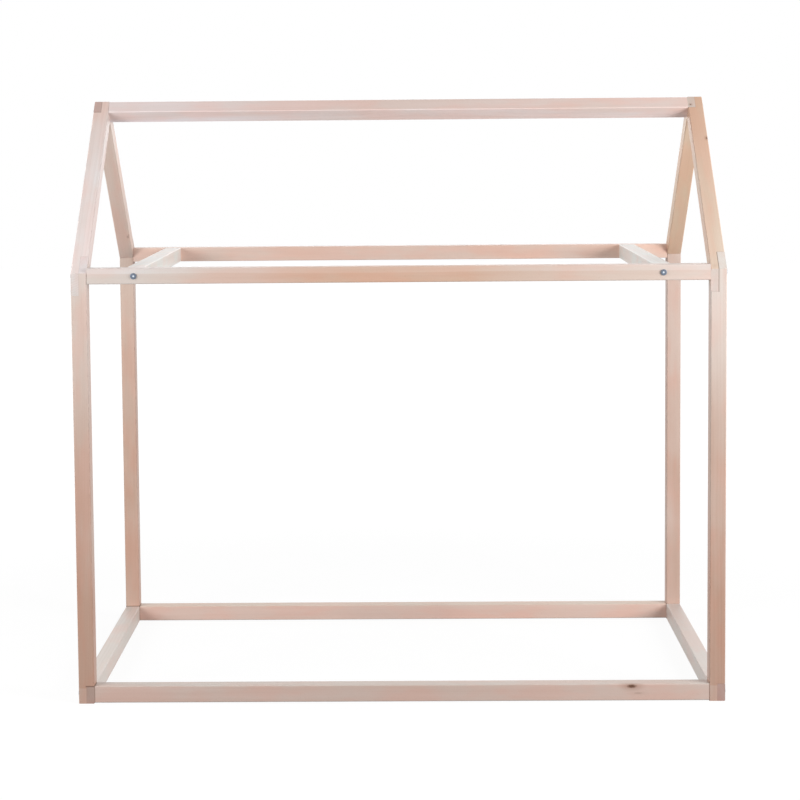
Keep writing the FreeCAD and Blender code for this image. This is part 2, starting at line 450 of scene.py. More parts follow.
@group_once
def turning_marks(name):
    """Turning marks: fine circles round a screw's axis, and blotches in its plating."""
    t, given = new_group(name, ("Vector",), ("Radius", "Spacing"))
    return t.ends(Marks=t.calc("SINE", t.calc("DIVIDE", given["Radius"], given["Spacing"])),
                  Blotches=t.noise(given["Vector"], scale=700.0, detail=3.0))


# ---- how each timber lies and grew

# The turn, in degrees, that lays each kind of timber along X.
LIES = {
    "along": (0, 0, 0),
    "across": (0, 0, -90),
    "upright": (0, 90, 0),
    "front slope": (-45, 0, -90),
    "back slope": (45, 0, 90),
    "on edge": (45, 0, 0),
}

Knot = namedtuple("Knot", "place radius stretch darkness")
PLAIN = (1.0, 1.0, 1.0)
Timber = namedtuple("Timber", "lie seed pith pale tone end paler top foot sapwood knots",
                    defaults=(PLAIN, (0.97, 0.955, 0.95), PLAIN, PLAIN, None, 1000.0, ()))

# Pith is measured from the middle of the timber's section and the start of the sapwood from the pith, in mm.
# Pale is the share of the paler colour at the timber's low or left end, in its middle and at its other end,
# and foot is the share below the top of the side rails; on the posts these shares are painted shade, darker
# towards the floor. Tone multiplies the timber's colour. End, paler and top multiply it once more on its cut
# ends, its paler wood and its upper face, where top is painted shade.
TIMBERS = {
    # The posts' pale shares rise from foot to top, painted shade that darkens them towards the floor.
    "post": {
        "front_left_post": Timber(
            "upright", 1, (34, -52), (-0.35, 0.28, 0.87), (0.96, 0.955, 0.955), (1.20, 1.29, 1.44),
            foot=0.30),
        "back_left_post": Timber("upright", 2, (-46, 30), (0.10, 0.13, 0.52), (1.09, 1.11, 1.11)),
        "front_right_post": Timber(
            "upright", 3, (58, 22), (-0.15, 0.24, 0.90), (0.94, 0.94, 0.94), (1.09, 1.19, 1.23), foot=0.28),
        "back_right_post": Timber("upright", 4, (-25, -61), (0.22, 0.26, 0.46), (1.05, 1.06, 1.08)),
    },
    "rafter": {
        "front_left_rafter": Timber(
            "front slope", 5, (22, -64), (1.0, 0.90, 0.50), (1.11, 1.12, 1.17), (0.84, 0.87, 0.87),
            (1.0, 1.03, 1.05)),
        "back_left_rafter": Timber(
            "back slope", 6, (-40, -48), (1.0, 0.80, 0.75), (1.05, 0.98, 0.955), (0.78, 0.745, 0.78),
            knots=(Knot((-0.7075, 0.2965, 1.0326), 1.9, 1.6, 0.7),
                   Knot((-0.7052, 0.2915, 1.0376), 1.3, 1.4, 0.5))),
        "front_right_rafter": Timber(
            "front slope", 7, (-60, -24), (0.80, 0.53, 0.0), (0.99, 0.93, 0.84), (0.90, 1.02, 1.20),
            knots=(Knot((0.7365, -0.0998, 1.2802), 2.9, 1.3, 1.0),)),
        "back_right_rafter": Timber(
            "back slope", 8, (51, -37), (0.10, 0.10, 0.10), (1.14, 1.15, 1.05), (0.86, 0.99, 1.18),
            knots=(Knot((0.7092, -0.0190, 1.3610), 2.6, 1.3, 0.9),)),
    },
    "side_rail": {
        "left_side_rail": Timber(
            "across", 9, (30, -70), (0.0, 0.1, 0.0), (1.06, 1.05, 1.04), (0.60, 0.48, 0.45),
            top=(0.95, 0.96, 0.97)),
        "right_side_rail": Timber(
            "across", 10, (-44, 50), (0.0, 0.1, 0.0), end=(0.655, 0.49, 0.466), top=(0.95, 0.96, 0.97)),
    },
    "bottom_rail": {
        "front_bottom_rail": Timber(
            "along", 11, (18, -74), (0.28, 0.20, 0.25), (0.86, 0.855, 0.85), top=(0.89, 0.99, 1.01),
            knots=(Knot((0.526, -0.391, 0.0350), 5.4, 2.4, 1.0),
                   Knot((0.541, -0.391, 0.0190), 2.2, 5.0, 0.25))),
        "back_bottom_rail": Timber(
            "along", 12, (-26, -66), (0.30, 0.25, 0.30), (1.03, 0.975, 0.955), top=(0.91, 1.0, 0.97)),
    },
    "eave_rail": {
        "front_eave_rail": Timber(
            "along", 13, (10, -70), (1.0, 0.0, 0.75), (0.89, 0.915, 0.91), paler=(1.05, 1.03, 1.05),
            sapwood=80.0),
        "back_eave_rail": Timber("along", 14, (-30, 58), (0.70, 0.60, 0.55), (1.14, 1.09, 1.08)),
    },
    "ridge": {
        "ridge_beam": Timber(
            "on edge", 15, (-10, 60), (1.0, 0.12, 0.20), (1.0, 1.01, 1.03), paler=(1.15, 1.12, 1.17),
            sapwood=78.0),
    },
    "tie": {
        "left_cross_tie": Timber("across", 16, (-12, -80), (-0.4, -0.4, -0.4), top=(0.90, 0.89, 0.90)),
        "right_cross_tie": Timber("across", 17, (25, -77), (-0.4, -0.4, -0.4), top=(0.86, 0.86, 0.865)),
    },
}


def laid_along_x(node, lie):
    """The turn that lays a timber along X, and its middle."""
    turn = Euler([math.radians(angle) for angle in LIES[lie]])
    low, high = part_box(node)
    middle = (low + high) / 2
    if "slope" in lie:
        middle.z = RIDGE_LINE.z - abs(middle.y)
    return turn, middle


def half_section(node, lie):
    """Half the width and half the height of a timber's section, as it is laid along X."""
    size = size_of(node)
    if lie == "along":
        return size.y / 2, size.z / 2
    if lie == "across":
        return size.x / 2, size.z / 2
    side = size_of("front_left_post").x / 2
    return side, side


def half_length(node, lie):
    """Half a timber's length, as it is laid along X."""
    size = size_of(node)
    return {"along": size.x, "on edge": size.x, "across": size.y, "upright": size.z}.get(
        lie, math.hypot(size.y, size.z)) / 2


Seam = namedtuple("Seam", "facing offset first last strength width", defaults=(1.0,))
X_AXIS, Y_AXIS, Z_AXIS = (1, 0, 0), (0, 1, 0), (0, 0, 1)

# How dark each gable's seams are: at the apex, down the eave laps, round them, beside the feet and over them.
SEAM_STRENGTH = {"left": (0.7, 0.12, 0.12, 0.3, 0.9), "right": (0.25, 0.85, 0.25, 0.15, 0.15)}
# How dark they are at the left and right ends of the long rails, and how wide.
RAIL_SEAMS = {"bottom": (0.9, 0.35, 2.5), "eave": (0.2, 0.25, 1.5)}


def gable_seams(gable):
    """The joint planes that a gable's surfaces cross."""
    low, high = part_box(gable + "_side_rail")
    apex, lap_line, eave, foot, sill = SEAM_STRENGTH[gable]
    left, right, middle = low.x, high.x, (low.x + high.x) / 2
    depth, rail = high.y, high.z
    post = size_of("front_left_post")
    lap = depth - post.y
    lower_face = RIDGE_LINE.z - post.y / math.sqrt(2)
    top = RIDGE_LINE.z + post.y / math.sqrt(2)
    shoulder, notch = lower_face - depth, lower_face - lap
    seams = []
    for side in (-1, 1):
        face, inside = side * depth, side * lap
        seams += [
            Seam(X_AXIS, middle, (middle, face, 0), (middle, inside, rail), foot),
            Seam(Z_AXIS, rail, (middle, face, rail), (right, inside, rail), sill, 3.0),
            Seam(Z_AXIS, rail, (left, inside, rail), (right, inside, rail), sill, 4.0),
            Seam(Y_AXIS, inside, (left, inside, 0), (middle, inside, rail), foot),
            Seam(X_AXIS, middle, (middle, face, shoulder), (middle, inside + side * 2 * MM, top - lap),
                 lap_line, 1.8),
            Seam((0, side, 1), lower_face, (left, face, shoulder), (middle, inside, notch), eave),
            Seam(Y_AXIS, inside, (middle, inside, notch), (right, inside, top - lap), eave),
            Seam(Z_AXIS, notch, (left, inside, notch), (right, inside, notch), 0.3),
        ]
    reach = (top - lower_face) / 2
    seams += [
        Seam(X_AXIS, middle, (middle, -reach, lower_face + 2 * MM), (middle, reach, top), apex),
        Seam((0, 1, 1), lower_face, (left, -reach, lower_face), (middle, 0, lower_face + reach), apex, 1.8),
        Seam((0, -1, 1), lower_face, (middle, 0, lower_face), (right, reach, lower_face + reach), apex, 1.8),
    ]
    return seams


def rail_seams(node):
    """The planes where a long rail's ends meet the gables."""
    low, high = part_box(node)
    at_left, at_right, width = RAIL_SEAMS[node.split("_")[1]]
    return [Seam(X_AXIS, end, (end, low.y, low.z), (end, high.y, high.z), strength, width)
            for end, strength in ((low.x, at_left), (high.x, at_right))]


def seams_of(node, lie):
    """The joint planes that show on a timber; the ties and the ridge beam have none."""
    if node.endswith(("_bottom_rail", "_eave_rail")):
        return rail_seams(node)
    if lie == "on edge" or node.endswith("_tie"):
        return []
    return gable_seams("left" if "left" in node else "right")


def seam_marks(t, node, seams, place, normal, width):
    """Thin dark lines along a timber's joints."""
    marks = 0.0
    low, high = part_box(node)
    for seam in seams:
        slack = Vector((1, 1, 1)) * max(0.6 * width * seam.width, 0.6 * MM)
        centre = (Vector(seam.first) + Vector(seam.last)) / 2
        half = Vector([abs(b - a) / 2 for a, b in zip(seam.first, seam.last)]) + slack
        if any(centre[i] + half[i] < low[i] or centre[i] - half[i] > high[i] for i in range(3)):
            continue
        facing = Vector(seam.facing)
        line = t.place(tight_seam(), Vector=place, Normal=normal, Facing=facing.normalized(),
                       Offset=seam.offset / facing.length, Centre=centre, Half_Size=half,
                       Width=width * seam.width)["Seam"]
        marks = t.calc("MAXIMUM", t.times(line, seam.strength), marks)
    return marks


def toned(colour, *factors):
    """A colour with each channel times its factor, not past white."""
    return tuple(min(channel * factor, 1.0) for channel, factor in zip(colour, factors or PLAIN))


def tinted(t, colour, tone, strength=1.0):
    """A colour times a tone."""
    return t.blend(strength, colour, tone, "MULTIPLY")


def own_coordinates(t, turn, middle):
    """Coordinates with the timber's length along X and the middle of its section at 0."""
    source = t.add("ShaderNodeTexCoord")
    feeds = {"Vector": source.outputs["Object"], "Rotation": turn, "Location": -(turn.to_matrix() @ middle)}
    mapping = t.add("ShaderNodeMapping", feeds, vector_type="POINT")
    return mapping.outputs[0], source.outputs["Object"]


def knot_marks(t, timber, turn, middle, vector):
    """Core and halo of all of a timber's knots, and how far they push the rings aside."""
    core, halo, bulge = 0.0, 0.0, 0.0
    for knot in timber.knots:
        centre = turn.to_matrix() @ (Vector(knot.place) - middle)
        marks = t.place(pin_knot(), Vector=vector, Centre=centre, Radius=knot.radius * MM,
                        Stretch=knot.stretch)
        core = t.calc("MAXIMUM", t.times(marks["Core"], knot.darkness), core)
        halo = t.calc("MAXIMUM", t.times(marks["Halo"], knot.darkness), halo)
        bulge = t.plus(marks["Bulge"], bulge)
    return core, halo, bulge


# What the wood's colour is multiplied by, as red, green and blue
DARK_BAND, PALE_BAND = (0.93, 0.91, 0.89), (1.06, 1.08, 1.10)
WARM_BLUSH, COOL_BLUSH = (1.02, 0.965, 0.95), (0.985, 1.03, 1.04)
SAPWOOD, LATE_WOOD, FLECK = (1.05, 1.11, 1.16), (0.76, 0.68, 0.62), (0.68, 0.58, 0.50)
# The first colour on the next line is a painted highlight along the arrises.
ARRIS_HIGHLIGHT, KNOT_HALO = (1.10, 1.13, 1.16), (0.55, 0.42, 0.34)
SAPWOOD_EDGE = 0.8 * MM      # half the width over which the sapwood sets in
NO_FOOT = 0.1 * MM           # height of the foot of a timber that has none


def paler_share(t, node, timber, vector, drift):
    """How much paler wood a timber has, by the distance along it and by its drift."""
    start, centre, finish = timber.pale
    foot, foot_height = start, NO_FOOT
    if timber.foot is not None:
        foot, foot_height = timber.foot, size_of("left_side_rail").z
    pale = t.place(pale_share_along_length(), Vector=vector, Half_Length=half_length(node, timber.lie), Start=start,
                   Middle=centre, Finish=finish, Foot=foot, Foot_Height=foot_height)["Share"]
    return t.plus(pale, t.times(t.minus(drift, 0.5), 0.6), clamp=True)


def timber_material(node, timber, colour, wood):
    """Bare sanded hardwood, with the timber's own rings, flecks, bands, ends, arrises and knots."""
    material, t, shader = new_material(node + "_wood")
    turn, middle = laid_along_x(node, timber.lie)
    vector, place = own_coordinates(t, turn, middle)
    core, halo, bulge = knot_marks(t, timber, turn, middle, vector)
    pith = (0.0, timber.pith[0] * MM, timber.pith[1] * MM)
    rings = t.place(growth_rings(), Vector=vector, Seed=timber.seed, Pith=pith,
                    Ring_Width=wood.ring_width, Wander=wood.wander, Bulge=bulge)
    fibre = t.place(wood_fibre(), Vector=vector, Seed=timber.seed)
    tone = t.place(board_tone(), Vector=vector, Seed=timber.seed)
    width, height = half_section(node, timber.lie)
    arris = t.place(highlit_sanded_arris(), Vector=vector, Half_Width=width, Half_Height=height,
                    Reach=wood.arris)["Arris"]
    direction = turn.to_matrix().transposed() @ Vector(X_AXIS)
    normal = t.add("ShaderNodeNewGeometry").outputs["True Normal"]
    end = t.place(cut_end(), Normal=normal, Direction=direction)["End"]

    # On the posts this share is painted shade, darker towards the floor.
    pale = paler_share(t, node, timber, vector, tone["Drift"])
    paler = [factor * more for factor, more in zip(timber.tone, timber.paler)]
    look = t.blend(pale, toned(colour, *timber.tone), toned(wood.pale, *paler))
    shade = t.plus(t.times(tone["Bands"], 1.1), t.times(fibre["Streaks"], 0.5))
    shade = t.plus(shade, t.times(rings["Year"], 0.10))
    shade = t.minus(shade, 0.35, clamp=True)
    look = tinted(t, look, t.blend(shade, DARK_BAND, PALE_BAND))
    look = tinted(t, look, t.blend(t.ease(tone["Blush"], 0.36, 0.64), WARM_BLUSH, COOL_BLUSH))
    start = timber.sapwood * MM
    look = tinted(t, look, SAPWOOD, t.ease(rings["Distance"], start - SAPWOOD_EDGE, start + SAPWOOD_EDGE))
    ringed = t.ease(end, 0.0, 1.0, wood.figure, 3.0 * wood.figure)
    look = tinted(t, look, LATE_WOOD, t.times(rings["Late Wood"], ringed))
    look = tinted(t, look, FLECK, t.times(fibre["Flecks"], wood.flecks))
    look = tinted(t, look, timber.end, end)
    # Painted shade: top darkens and greys each timber's upper face.
    if timber.top != PLAIN:
        look = tinted(t, look, timber.top, t.place(cut_end(), Normal=normal, Direction=Z_AXIS)["End"])
    # Painted highlight: a paler strip along each arris.
    look = tinted(t, look, ARRIS_HIGHLIGHT, t.times(arris, 0.2))
    if timber.knots:
        look = tinted(t, look, KNOT_HALO, t.times(halo, 0.45))
        look = t.blend(core, look, toned(wood.knot))
    seams = seams_of(node, timber.lie)
    if seams:
        seam = seam_marks(t, node, seams, place, normal, wood.gap)
        look = t.blend(t.times(seam, 0.85), look, toned(wood.seam))
    t.feed(shader.inputs["Base Color"], look)

    gloss = t.plus(t.times(fibre["Streaks"], 0.16), wood.roughness - 0.08)
    gloss = t.plus(gloss, t.times(end, 0.22))
    t.feed(shader.inputs["Roughness"], t.minus(gloss, t.times(arris, 0.05)))
    t.feed(shader.inputs["IOR"], 1.45)
    t.feed(shader.inputs["Specular IOR Level"], 0.42)

    relief = t.plus(t.times(fibre["Streaks"], 0.5), t.times(fibre["Fuzz"], 0.35))
    for sunk, depth in ((fibre["Flecks"], 0.3), (rings["Late Wood"], 0.15), (core, 0.5)):
        relief = t.minus(relief, t.times(sunk, depth))
    t.bump(shader, relief, 0.35, 0.08 * MM)
    return material


def finish_timbers(kind):
    """Gives each timber of one kind its own wood."""
    wood = settings().wood
    for node, timber in TIMBERS[kind].items():
        material = timber_material(node, timber, getattr(wood, kind), wood)
        paint(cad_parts[node], material)


def paint(piece, *materials):
    """Puts materials on a piece in place of what it has."""
    piece.data.materials.clear()
    for material in materials:
        piece.data.materials.append(material)


# ---- modelling by hand, in short calls

def switch(mode):
    """Goes to object or edit mode."""
    bpy.ops.object.mode_set(mode=mode)


def select_only(piece):
    """Selects one piece and makes it the active one."""
    bpy.ops.object.select_all(action="DESELECT")
    piece.select_set(True)
    bpy.context.view_layer.objects.active = piece


def start_shape(name, add, **values):
    """Adds a primitive with nothing else selected and leaves it in edit mode."""
    if bpy.context.object and bpy.context.object.mode != "OBJECT":
        switch("OBJECT")
    bpy.ops.object.select_all(action="DESELECT")
    add(**values)
    piece = bpy.context.object
    piece.name = name
    piece.data.name = name
    switch("EDIT")
    return piece


def end_shape():
    """Back to object mode, with the place and turn of the piece in its mesh."""
    switch("OBJECT")
    bpy.ops.object.transform_apply(location=True, rotation=True, scale=True)


def start_rod(name, sides, radius, whole):
    """A cylinder that hangs under the origin, in edit mode."""
    piece = start_shape(name, bpy.ops.mesh.primitive_cylinder_add, vertices=sides, radius=radius,
                        depth=whole, location=(0, 0, -whole / 2))
    end_shape()
    switch("EDIT")
    return piece


def face_outwards():
    """Turns all faces of the piece in edit mode outwards."""
    bpy.ops.mesh.select_all(action="SELECT")
    bpy.ops.mesh.normals_make_consistent(inside=False)


def pick(piece, kind, rule):
    """Selects the faces or edges of the piece in edit mode that the rule is true of."""
    bpy.ops.mesh.select_mode(type=kind)
    bpy.ops.mesh.select_all(action="DESELECT")
    mesh = bmesh.from_edit_mesh(piece.data)
    mesh.normal_update()
    for element in (mesh.faces if kind == "FACE" else mesh.edges):
        if rule(element):
            element.select_set(True)
    mesh.select_flush_mode()
    bmesh.update_edit_mesh(piece.data)


def near(value, wanted, slack=0.02 * MM):
    """Whether two lengths are the same to a few hundredths of a millimetre."""
    return abs(value - wanted) < slack


def at_height(height):
    """A rule for faces that lie flat at that height."""
    return lambda face: near(face.calc_center_median().z, height) and abs(face.normal.z) > 0.99


def rim_at(height, radius):
    """A rule for edges round a circle at that height."""
    def rule(edge):
        return all(near(v.co.z, height) and near(v.co.xy.length, radius) for v in edge.verts)
    return rule


def push_out(distance):
    """Extrudes the picked face along Z."""
    bpy.ops.mesh.extrude_region_move(TRANSFORM_OT_translate={"value": (0, 0, distance)})


def shrink(factor):
    """Scales what is picked towards the Z axis."""
    bpy.ops.transform.resize(value=(factor, factor, 1), center_override=(0, 0, 0))


def copied(template, name, matrix):
    """A copy of the template with its own mesh, set in place in that mesh."""
    piece = template.copy()
    piece.data = template.data.copy()
    piece.name = name
    piece.data.transform(matrix)
    bpy.context.collection.objects.link(piece)
    return piece


def joined(pieces, name):
    """Several pieces made one."""
    bpy.ops.object.select_all(action="DESELECT")
    for piece in pieces:
        piece.select_set(True)
    bpy.context.view_layer.objects.active = pieces[0]
    if len(pieces) > 1:
        bpy.ops.object.join()
    pieces[0].name = name
    pieces[0].data.name = name
    return pieces[0]


def outward(low, high):
    """Which way a fastener points out of the bed, and the middle of its outer end."""
    size, middle = high - low, (low + high) / 2
    way = Vector((math.copysign(1, middle.x), 0, 0))
    if size.y > size.x:
        way = Vector((0, math.copysign(1, middle.y), 0))
    return way, middle + way * max(size.x, size.y) / 2


FIRST_SPIN, MORE_SPIN = 11, 37     # turn in degrees of the first fastener of a node, and of each one more


def set_in_place(template, node, name):
    """Copies a fastener to each place where the node has one, and lets the copies stand for the node."""
    pieces = []
    for number, (low, high) in enumerate(solids_of(node)):
        way, end = outward(low, high)
        turn = way.to_track_quat("Z", "Y").to_matrix().to_4x4()
        spin = Matrix.Rotation(math.radians(FIRST_SPIN + number * MORE_SPIN), 4, "Z")
        pieces.append(copied(template, f"{name}_{number}", Matrix.Translation(end) @ turn @ spin))
    piece = joined(pieces, name)
    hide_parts(node)
    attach(piece, BODY)
    return piece


# ---- screws

UNDERSIDE_BEVEL = 0.15 * MM  # under the head
NECKING = 0.8 * MM           # over which the shank narrows to the core
TIP = 6.0 * MM               # length of the tapered tip
TIP_SHARE = 0.35             # width of the tip's end, as a share of the core's
DRILL_POINT = 0.35 * MM      # depth of the drill's cone in the socket's floor
SOCKET_LIP = 0.18 * MM       # bevel round the socket's mouth
THREAD_START = 2.5 * MM      # from the plain shank to the first crest's root
THREAD_WIDTH = 1.1 * MM      # across the thread at its root


def steel_material(name, colour, roughness, spacing):
    """Plated steel with fine turning marks."""
    material, t, shader = new_material(name)
    radius = t.add("ShaderNodeAttribute", attribute_name="axis_distance").outputs["Fac"]
    place = t.add("ShaderNodeTexCoord").outputs["Object"]
    marks = t.place(turning_marks(), Radius=radius, Vector=place, Spacing=spacing)
    look = t.blend(t.ease(marks["Blotches"], 0.35, 0.7), toned(colour, 0.86, 0.90, 0.96),
                   toned(colour, 1.14, 1.10, 1.05))
    t.feed(shader.inputs["Base Color"], look)
    t.feed(shader.inputs["Metallic"], 1.0)
    t.feed(shader.inputs["Roughness"], t.plus(t.times(marks["Blotches"], 0.14), roughness - 0.07))
    t.bump(shader, marks["Marks"], 0.25, 0.02 * MM)
    return material


def screw_body(screw, whole):
    """Flat head, plain shank and tapered tip, with the outer face of the head at 0 and the tip below."""
    radius = screw.head_diameter / 2
    piece = start_rod("connecting_screw", 48, radius, screw.head_height)
    pick(piece, "EDGE", rim_at(0.0, radius))
    bpy.ops.mesh.bevel(offset=screw.rim, segments=4, profile=0.5)
    pick(piece, "EDGE", rim_at(-screw.head_height, radius))
    bpy.ops.mesh.bevel(offset=UNDERSIDE_BEVEL, segments=1)
    pick(piece, "FACE", at_height(-screw.head_height))
    bpy.ops.mesh.inset(thickness=radius - UNDERSIDE_BEVEL - screw.shank / 2)
    push_out(-screw.neck)
    push_out(-NECKING)
    shrink(screw.core / screw.shank)
    push_out(screw.head_height + screw.neck + NECKING + TIP - whole)
    push_out(-TIP)
    shrink(TIP_SHARE)
    end_shape()
    return piece


def cut_socket(piece, screw):
    """Sinks a hexagon socket with a drilled floor into the head."""
    corner = screw.socket / math.sqrt(3)
    cutter = start_shape("socket_cutter", bpy.ops.mesh.primitive_cylinder_add, vertices=6, radius=corner,
                         depth=2 * screw.socket_depth, location=(0, 0, 0))
    pick(cutter, "FACE", at_height(-screw.socket_depth))
    bpy.ops.mesh.inset(thickness=0.25 * MM)
    push_out(-DRILL_POINT)
    shrink(0.12)
    end_shape()
    cut = piece.modifiers.new("Socket", "BOOLEAN")
    cut.operation = "DIFFERENCE"
    cut.solver = "EXACT"
    cut.object = cutter
    apply_modifier(piece, cut)
    bpy.data.objects.remove(cutter)
    select_only(piece)
    switch("EDIT")

    def at_mouth(edge):
        return all(near(v.co.z, 0.0) and v.co.xy.length < 1.02 * corner for v in edge.verts)

    pick(piece, "EDGE", at_mouth)
    bpy.ops.mesh.bevel(offset=SOCKET_LIP, segments=2)
    switch("OBJECT")


def apply_modifier(piece, modifier):
    """Makes a modifier part of the mesh."""
    select_only(piece)
    bpy.ops.object.modifier_apply(modifier=modifier.name)


def screw_thread(screw, whole):
    """One long thread: a small triangle wound round the core."""
    start = -(screw.head_height + screw.neck + THREAD_START)
    root = screw.core / 2 - 0.1 * MM
    crest = screw.shank / 2 - 0.05 * MM
    piece = start_shape("screw_thread", bpy.ops.mesh.primitive_circle_add, vertices=3, radius=1.0,
                        fill_type="NGON")
    mesh = bmesh.from_edit_mesh(piece.data)
    places = ((root, start), (crest, start - THREAD_WIDTH / 2), (root, start - THREAD_WIDTH))
    for vertex, (out, height) in zip(mesh.verts, places):
        vertex.co = (out, 0, height)
    bmesh.update_edit_mesh(piece.data)
    bpy.ops.mesh.select_all(action="SELECT")
    bpy.ops.mesh.delete(type="ONLY_FACE")
    switch("OBJECT")
    wind = piece.modifiers.new("Winding", "SCREW")
    wind.axis = "Z"
    wind.angle = 2 * math.pi
    wind.screw_offset = -screw.pitch
    wind.iterations = int((whole + start - TIP) / screw.pitch)
    wind.steps = wind.render_steps = 18
    apply_modifier(piece, wind)
    switch("EDIT")
    bpy.ops.mesh.select_all(action="SELECT")
    bpy.ops.mesh.remove_doubles(threshold=0.001 * MM)
    bpy.ops.mesh.select_all(action="DESELECT")
    bpy.ops.mesh.select_mode(type="EDGE")
    bpy.ops.mesh.select_non_manifold()
    bpy.ops.mesh.edge_face_add()
    face_outwards()
    switch("OBJECT")
    return piece


def mark_axis_distance(piece):
    """Stores how far each point is from the screw's axis, for the turning marks."""
    layer = piece.data.attributes.new("axis_distance", "FLOAT", "POINT")
    for vertex, value in zip(piece.data.vertices, layer.data):
        value.value = vertex.co.xy.length


def make_screw(screw, whole):
    """The connecting screw that is copied to every joint."""
    piece = screw_body(screw, whole)
    cut_socket(piece, screw)
    thread = screw_thread(screw, whole)
    piece = joined([piece, thread], "connecting_screw")
    mark_axis_distance(piece)
    # The head's dark colour is painted reflection, and the socket floor's pale colour a painted glint.
    head = steel_material("plated_steel", screw.steel, screw.roughness, 0.035 * MM)
    floor = steel_material("socket_steel", screw.bright, 0.22, 0.05 * MM)
    paint(piece, head, floor)
    # Faces deep in the socket take the painted glint.
    for face in piece.data.polygons:
        centre = face.center
        face.material_index = 0
        if centre.xy.length < screw.socket / 2 and -3.0 * MM < centre.z < -0.5 * screw.socket_depth:
            face.material_index = 1
    bpy.ops.object.shade_smooth_by_angle(angle=math.radians(28))
    return piece


# ---- dowels

def dowel_material(wood):
    """Turned wood, the same on every dowel."""
    material, t, shader = new_material("turned_dowel_wood")
    vector = t.add("ShaderNodeTexCoord").outputs["Object"]
    fibre = t.place(wood_fibre(), Vector=vector, Seed=21.0)
    rings = t.place(growth_rings(), Vector=vector, Seed=21.0, Pith=(0.0, 0.4, 1.2),
                    Ring_Width=1.4 * MM, Wander=wood.wander, Bulge=0.0)
    look = t.blend(fibre["Streaks"], toned(wood.dowel, 0.9, 0.87, 0.84), toned(wood.dowel, 1.1, 1.12, 1.14))
    look = t.blend(t.times(rings["Late Wood"], 0.4), look, toned(wood.dowel, 0.78, 0.7, 0.62))
    t.feed(shader.inputs["Base Color"], look)
    t.feed(shader.inputs["Roughness"], t.plus(t.times(fibre["Streaks"], 0.15), 0.5))
    t.bump(shader, fibre["Streaks"], 0.3, 0.1 * MM)
    return material


def make_dowel(dowel, whole):
    """The fluted dowel that is copied to the ridge and foot joints, with its outer end at 0."""
    radius = dowel.diameter / 2
    sides = 4 * dowel.flutes
    piece = start_rod("fluted_dowel", sides, radius, whole)

    def in_flute(face):
        if abs(face.normal.z) > 0.5:
            return False
        angle = math.atan2(face.normal.y, face.normal.x) % (2 * math.pi)
        return int(angle / (2 * math.pi) * sides) % 4 == 0

    pick(piece, "EDGE", lambda edge: rim_at(0.0, radius)(edge) or rim_at(-whole, radius)(edge))
    bpy.ops.mesh.bevel(offset=dowel.chamfer, segments=1)
    pick(piece, "FACE", in_flute)
    bpy.ops.mesh.inset(thickness=0.06 * MM, use_individual=True)
    bpy.ops.transform.shrink_fatten(value=-dowel.flute_depth)
    face_outwards()
    switch("OBJECT")
    return piece


# ---- stage

def white_to_the_eye(t):
    """1 for rays from the camera or off or through something shiny, 0 for those that light the object."""
    path = t.add("ShaderNodeLightPath").outputs
    seen = t.plus(path["Is Camera Ray"], path["Is Glossy Ray"], clamp=True)
    return t.plus(seen, path["Is Transmission Ray"], clamp=True)


def make_room(stage):
    """White to the eye, a soft even light to the timbers."""
    world = bpy.data.worlds.new("studio")
    world.use_nodes = True
    bpy.context.scene.world = world
    t = Tree(world.node_tree)
    shown, lit = t.add("ShaderNodeBackground"), world.node_tree.nodes["Background"]
    for light, strength in ((shown, 1.0), (lit, stage.room)):
        t.feed(light.inputs["Color"], (1, 1, 1, 1))
        t.feed(light.inputs["Strength"], strength)
    both = t.mixed(white_to_the_eye(t), lit.outputs[0], shown.outputs[0])
    t.feed(world.node_tree.nodes["World Output"].inputs["Surface"], both)


def floor_material(stage):
    """A pale floor that the camera sees as white, with the bed's shadow on it."""
    material, t, shader = new_material("studio_floor")
    material.node_tree.nodes.remove(shader)
    place = t.add("ShaderNodeTexCoord").outputs["Object"]
    grit = t.plus(t.times(t.noise(place, scale=14.0, detail=3.0), 0.06), 0.97)
    near_bed = 1.0 - 0.9 * stage.floor_shade
    away = t.reckon("LENGTH", place, out="Value")
    glow = t.add("ShaderNodeEmission", {"Strength": t.ease(away, 1.1, 3.2, near_bed, 1.0)})
    shaded = t.add("ShaderNodeBsdfDiffuse", {"Color": t.times(grit, stage.floor_shade)})
    plain = t.add("ShaderNodeBsdfDiffuse", {"Color": t.times(grit, stage.floor_tone)})
    seen = t.add("ShaderNodeAddShader", {0: glow.outputs[0], 1: shaded.outputs[0]})
    both = t.mixed(white_to_the_eye(t), plain.outputs[0], seen.outputs[0])
    t.feed(material.node_tree.nodes["Material Output"].inputs["Surface"], both)
    return material


def make_floor(stage):
    """A wide round floor under the bed."""
    floor = start_shape("floor", bpy.ops.mesh.primitive_circle_add, vertices=96, radius=14.0,
                        fill_type="NGON")
    end_shape()
    paint(floor, floor_material(stage))


# Name, place, point looked at, width and height, and the setting that holds the power of each lamp
MIDDLE, LOW_FRONT = (0.0, 0.1, 0.9), (0.0, -0.1, 0.9)
LAMPS = (
    ("right_softbox", (2.9, -1.9, 1.4), MIDDLE, (1.6, 1.6), "right_lamp"),
    ("left_softbox", (-2.9, -1.9, 1.4), MIDDLE, (1.6, 1.6), "left_lamp"),
    ("front_right_lamp", (1.7, -1.5, 1.25), LOW_FRONT, (0.8, 0.8), "front_lamps"),
    ("front_left_lamp", (-1.7, -1.5, 1.25), LOW_FRONT, (0.8, 0.8), "front_lamps"),
    ("back_softbox", (0.0, 2.6, 1.9), (0.0, 0.0, 0.8), (3.0, 1.6), "back_lamp"),
)


